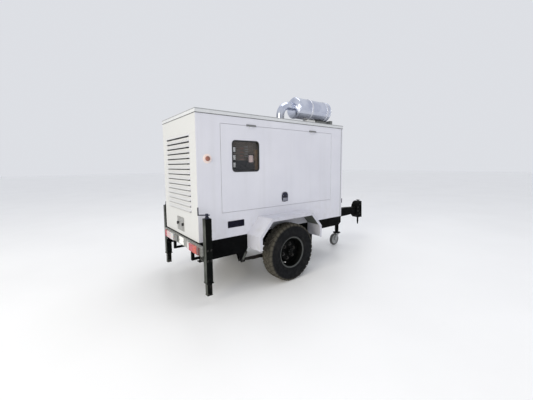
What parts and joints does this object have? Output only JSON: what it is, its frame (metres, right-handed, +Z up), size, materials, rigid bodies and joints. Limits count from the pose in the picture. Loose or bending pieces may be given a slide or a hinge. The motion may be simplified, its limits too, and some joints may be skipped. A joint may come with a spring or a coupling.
{
  "type": "towable diesel generator",
  "caption": "Sheet-steel canopied diesel generator on a single-axle drawbar trailer with gull-wing service doors, corner jacks, jockey wheel, towing jaw and roof silencer.",
  "frame": {"origin": "middle of the footprint on the ground", "axes": "+X towards the towing jaw along the drawbar, +Z up, -Y the side with the control window (near side)"},
  "size_m": [4.26, 1.782, 2.7262],
  "materials": {
    "white_paint": "semi-gloss powder coat",
    "black_paint": "satin chassis paint",
    "dull_steel": "zinc plated, dull",
    "bright_steel": "polished stainless",
    "dark_plastic": "dark blue-black enamel",
    "black_plastic": "moulded",
    "red_plastic": "moulded",
    "lamp_plastic": "clear moulded lens",
    "tyre_rubber": "dusty rubber",
    "grey_rubber": "solid tyre",
    "spring_steel": "oiled spring steel",
    "engine_iron": "green engine enamel",
    "core_aluminium": "finned core, dark coated",
    "window_glass": "tinted"
  },
  "bodies": {
    "trailer": {"side_frame_near": "white_paint", "side_frame_far": "white_paint", "rear_panel": "white_paint", "front_panel": "white_paint", "roof": "white_paint", "fender_near": "white_paint", "fender_far": "white_paint", "side_rail_near": "black_paint", "side_rail_far": "black_paint", "crossmember_rear": "black_paint", "crossmember_middle": "black_paint", "crossmember_front": "black_paint", "fuel_tank": "black_paint", "drawbar": "black_paint", "hitch_jaw": "black_paint", "jack_tube_near": "black_paint", "jack_tube_far": "black_paint", "jockey_clamp": "black_paint", "door_hinge_near_rear": "dull_steel", "door_hinge_near_front": "dull_steel", "door_hinge_far_rear": "dull_steel", "door_hinge_far_front": "dull_steel", "light_board": "dull_steel", "muffler_bracket": "dull_steel", "muffler": "bright_steel", "exhaust_elbow": "bright_steel", "control_cabinet": "dark_plastic", "battery": "black_plastic", "tail_lamp_near": "lamp_plastic", "tail_lamp_far": "lamp_plastic", "engine": "engine_iron", "alternator": "engine_iron", "radiator": "core_aluminium"},
    "door_near": {"door_near": "white_paint", "window_pane": "window_glass"},
    "door_far": {"door_far": "white_paint"},
    "latch_near": {"door_latch_near": "dark_plastic"},
    "latch_far": {"door_latch_far": "dark_plastic"},
    "stop_button": {"emergency_stop": "red_plastic"},
    "output_hatch": {"output_hatch": "dull_steel"},
    "knob_left": {"hatch_knob_left": "black_plastic"},
    "knob_right": {"hatch_knob_right": "black_plastic"},
    "axle": {"axle": "black_paint", "leaf_spring_near": "spring_steel", "leaf_spring_far": "spring_steel"},
    "wheel_near": {"wheel_near": "black_paint", "tyre_near": "tyre_rubber"},
    "wheel_far": {"wheel_far": "black_paint", "tyre_far": "tyre_rubber"},
    "jack_leg_near": {"jack_leg_near": "black_paint"},
    "jack_leg_far": {"jack_leg_far": "black_paint"},
    "jack_crank_near": {"jack_crank_near": "dark_plastic"},
    "jack_crank_far": {"jack_crank_far": "dark_plastic"},
    "jockey_tube": {"jockey_tube": "black_paint"},
    "jockey_leg": {"jockey_leg": "black_paint"},
    "jockey_crank": {"jockey_crank": "black_paint"},
    "jockey_fork": {"jockey_fork": "dull_steel"},
    "jockey_wheel": {"jockey_wheel": "grey_rubber"},
    "hitch_pin": {"hitch_pin": "black_paint"},
    "cooling_fan": {"cooling_fan": "black_plastic"}
  },
  "joints": [
    {"name": "door_near_hinge", "type": "hinge", "parent": "trailer", "child": "door_near", "pos_m": [-0.7, -0.606, 2.167], "axis": [-1, 0, 0], "range_deg": [0, 85]},
    {"name": "door_far_hinge", "type": "hinge", "parent": "trailer", "child": "door_far", "pos_m": [-0.7, 0.606, 2.167], "axis": [1, 0, 0], "range_deg": [0, 85]},
    {"name": "latch_near_pull", "type": "hinge", "parent": "door_near", "child": "latch_near", "pos_m": [-0.689, -0.6, 1.244], "axis": [-1, 0, 0], "range_deg": [0, 30], "stiffness_Nm_per_rad": 3},
    {"name": "latch_far_pull", "type": "hinge", "parent": "door_far", "child": "latch_far", "pos_m": [-0.689, 0.6, 1.244], "axis": [1, 0, 0], "range_deg": [0, 30], "stiffness_Nm_per_rad": 3},
    {"name": "stop_button_press", "type": "slide", "parent": "trailer", "child": "stop_button", "axis": [0, 1, 0], "range_m": [0, 0.006], "stiffness_N_per_m": 800},
    {"name": "output_hatch_hinge", "type": "hinge", "parent": "trailer", "child": "output_hatch", "pos_m": [-2.077, -0.012, 0.952], "axis": [0, 1, 0], "range_deg": [0, 95]},
    {"name": "knob_left_turn", "type": "hinge", "parent": "output_hatch", "child": "knob_left", "pos_m": [-2.076, 0.068, 0.868], "axis": [-1, 0, 0], "range_deg": [0, 90]},
    {"name": "knob_right_turn", "type": "hinge", "parent": "output_hatch", "child": "knob_right", "pos_m": [-2.076, -0.11, 0.868], "axis": [1, 0, 0], "range_deg": [0, 90]},
    {"name": "axle_travel", "type": "slide", "parent": "trailer", "child": "axle", "axis": [0, 0, 1], "range_m": [-0.05, 0.03], "stiffness_N_per_m": 260000, "springref_m": -0.056, "deforming": ["leaf_spring_near", "leaf_spring_far"]},
    {"name": "wheel_near_spin", "type": "hinge", "parent": "axle", "child": "wheel_near", "pos_m": [-0.783, -0.7735, 0.41], "axis": [0, 1, 0], "continuous": true},
    {"name": "wheel_far_spin", "type": "hinge", "parent": "axle", "child": "wheel_far", "pos_m": [-0.783, 0.7735, 0.41], "axis": [0, 1, 0], "continuous": true},
    {"name": "jack_leg_near_slide", "type": "slide", "parent": "trailer", "child": "jack_leg_near", "axis": [0, 0, -1], "range_m": [-0.12, 0.25]},
    {"name": "jack_crank_near_turn", "type": "hinge", "parent": "trailer", "child": "jack_crank_near", "pos_m": [-2.02, -0.727, 1.07], "axis": [0, 0, 1], "range_deg": [-4330, 9010]},
    {"name": "jack_leg_far_slide", "type": "slide", "parent": "trailer", "child": "jack_leg_far", "axis": [0, 0, -1], "range_m": [-0.12, 0.25]},
    {"name": "jack_crank_far_turn", "type": "hinge", "parent": "trailer", "child": "jack_crank_far", "pos_m": [-2.02, 0.727, 1.07], "axis": [0, 0, 1], "range_deg": [-4330, 9010]},
    {"name": "jockey_clamp_slide", "type": "slide", "parent": "trailer", "child": "jockey_tube", "axis": [0, 0, 1], "range_m": [0, 0.28]},
    {"name": "jockey_leg_slide", "type": "slide", "parent": "jockey_tube", "child": "jockey_leg", "axis": [0, 0, -1], "range_m": [0, 0.25]},
    {"name": "jockey_crank_turn", "type": "hinge", "parent": "jockey_tube", "child": "jockey_crank", "pos_m": [1.17, -0.12, 0.88], "axis": [0, 0, 1], "range_deg": [-10, 9010]},
    {"name": "jockey_swivel", "type": "hinge", "parent": "jockey_leg", "child": "jockey_fork", "pos_m": [1.17, -0.12, 0.24], "axis": [0, 0, 1], "continuous": true},
    {"name": "jockey_wheel_spin", "type": "hinge", "parent": "jockey_fork", "child": "jockey_wheel", "pos_m": [1.09, -0.12, 0.1175], "axis": [0, 1, 0], "continuous": true},
    {"name": "hitch_pin_lift", "type": "slide", "parent": "trailer", "child": "hitch_pin", "axis": [0, 0, 1], "range_m": [0, 0.42]},
    {"name": "cooling_fan_spin", "type": "hinge", "parent": "trailer", "child": "cooling_fan", "pos_m": [0.39, 0, 1.14], "axis": [1, 0, 0], "continuous": true}
  ],
  "couplings": [
    {"joint": "jack_crank_near_turn", "follows": "jack_leg_near_slide", "rad_per_m": 628.32},
    {"joint": "jack_crank_far_turn", "follows": "jack_leg_far_slide", "rad_per_m": 628.32},
    {"joint": "jockey_crank_turn", "follows": "jockey_leg_slide", "rad_per_m": 628.32}
  ]
}
